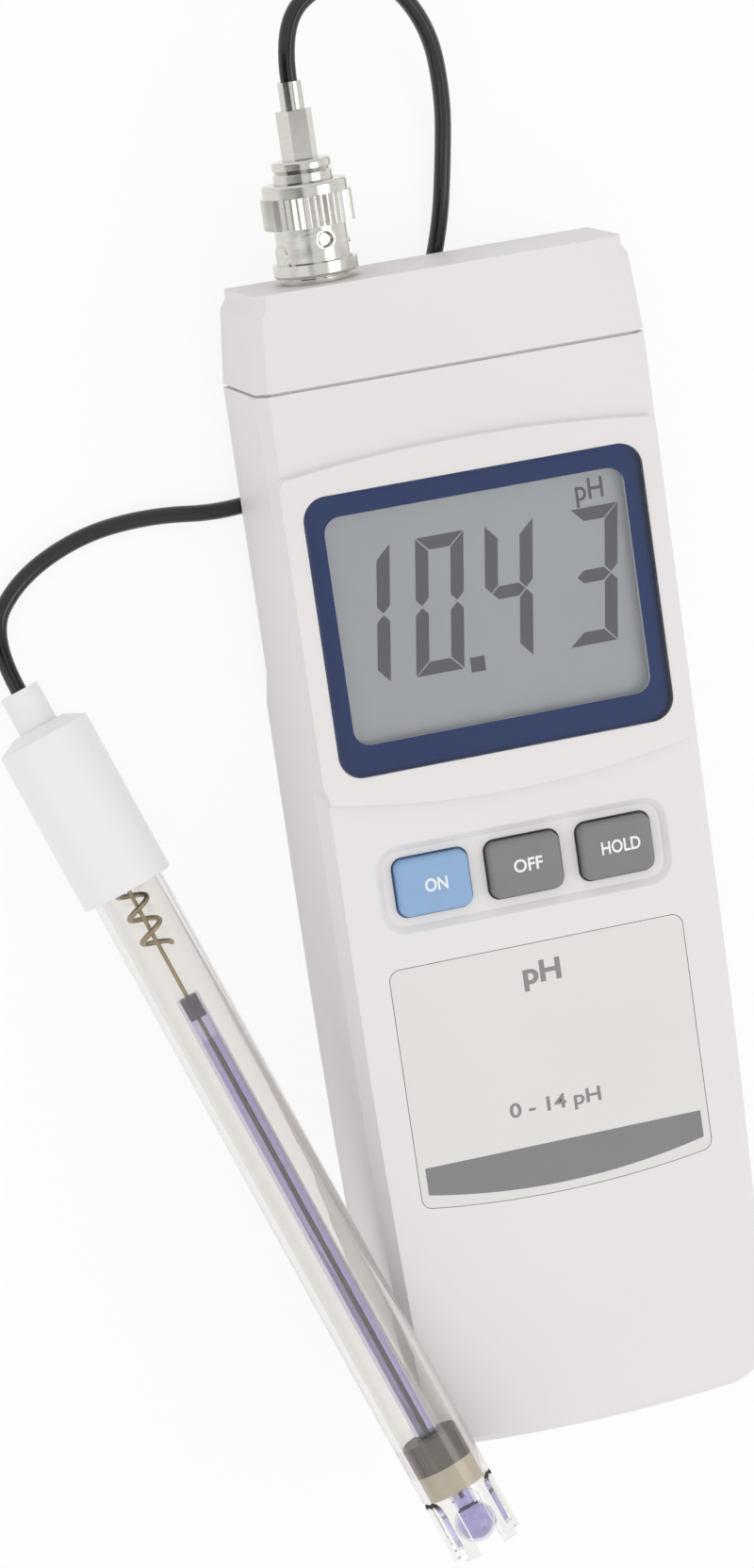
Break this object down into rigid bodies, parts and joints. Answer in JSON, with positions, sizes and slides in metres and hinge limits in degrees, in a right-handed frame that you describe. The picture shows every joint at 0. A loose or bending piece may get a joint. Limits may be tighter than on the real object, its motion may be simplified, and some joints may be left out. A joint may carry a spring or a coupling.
{
  "type": "digital pH meter",
  "caption": "Hand-held digital pH meter on its back, with a raised display field, keys, a label plate, a bayonet socket and plug, a cable and a capped probe that leans on its side",
  "frame": {"origin": "on the case's flat back, on its centre line, just below the display's lower edge", "axes": "+X across the face to the right, +Y up the face to the head with the socket, +Z out of the face"},
  "size_m": [0.114, 0.2617, 0.0455],
  "materials": {
    "case": "fine moulded texture",
    "steel": "plain",
    "label": "smooth printed film",
    "clear_window": "polished clear plastic",
    "blue_print": "print under the window",
    "display_glass": "grey-green display",
    "holder": "moulded",
    "mat_rubber": "moulded",
    "board": "lacquered board",
    "chip": "moulded",
    "key_blue": "satin",
    "key_grey": "satin",
    "battery_case": "plain wrap",
    "lead": "wire insulation",
    "nickel": "turned and plated",
    "white_plastic": "turned",
    "gilt_brass": "plated",
    "cable_sheath": "extruded sheath",
    "white_cap": "moulded",
    "clear_tube": "polished clear plastic",
    "dark_seal": "cast",
    "junction": "porous ring",
    "electrode_glass": "blown glass",
    "buffer": "liquid",
    "silver_wire": "drawn wire"
  },
  "bodies": {
    "meter": {"front_shell": "case", "back_shell": "case", "top_cap": "case", "case_screws": "steel", "label_plate": "label", "display_window": "clear_window", "window_border": "blue_print", "lcd_panel": "display_glass", "lcd_frame": "holder", "contact_strips": "mat_rubber", "main_board": "board", "main_chip": "chip", "board_screws": "steel", "key_mat": "mat_rubber", "battery": "battery_case", "battery_snap": "chip", "battery_leads": "lead", "bnc_socket": "nickel", "socket_insulator": "white_plastic", "socket_contact": "gilt_brass", "socket_washer": "nickel", "socket_nut": "nickel", "input_lead": "lead", "plug_body": "nickel", "plug_insulator": "white_plastic", "plug_pin": "gilt_brass", "crimp_ferrule": "nickel", "cable": "cable_sheath", "probe_cap": "white_cap", "probe_body": "clear_tube", "seal_plug": "dark_seal", "junction_ring": "junction", "glass_electrode": "electrode_glass", "buffer_fill": "buffer", "stem_stopper": "dark_seal", "tube_plug": "dark_seal", "electrode_wire": "silver_wire", "reference_wire": "silver_wire"},
    "key_on": {"key_on": "key_blue"},
    "key_off": {"key_off": "key_grey"},
    "key_hold": {"key_hold": "key_grey"},
    "battery_door": {"battery_door": "case"},
    "plug_washer": {"plug_washer": "nickel"},
    "plug_coupling": {"plug_coupling": "nickel"}
  },
  "joints": [
    {"name": "key_on_press", "type": "slide", "parent": "meter", "child": "key_on", "axis": [0, 0, -1], "range_m": [0, 0.0008], "stiffness_N_per_m": 800},
    {"name": "key_off_press", "type": "slide", "parent": "meter", "child": "key_off", "axis": [0, 0, -1], "range_m": [0, 0.0008], "stiffness_N_per_m": 800},
    {"name": "key_hold_press", "type": "slide", "parent": "meter", "child": "key_hold", "axis": [0, 0, -1], "range_m": [0, 0.0008], "stiffness_N_per_m": 800},
    {"name": "battery_door_slide", "type": "slide", "parent": "meter", "child": "battery_door", "axis": [0, -1, 0], "range_m": [0, 0.03]},
    {"name": "coupling_travel", "type": "slide", "parent": "meter", "child": "plug_washer", "axis": [0, 1, 0], "range_m": [0, 0.0018]},
    {"name": "coupling_turn", "type": "hinge", "parent": "plug_washer", "child": "plug_coupling", "pos_m": [-0.018, 0.105, 0.0175], "axis": [0, 1, 0], "range_deg": [0, 80]}
  ],
  "couplings": [
    {"joint": "coupling_turn", "follows": "coupling_travel", "rad_per_m": 775.7}
  ]
}
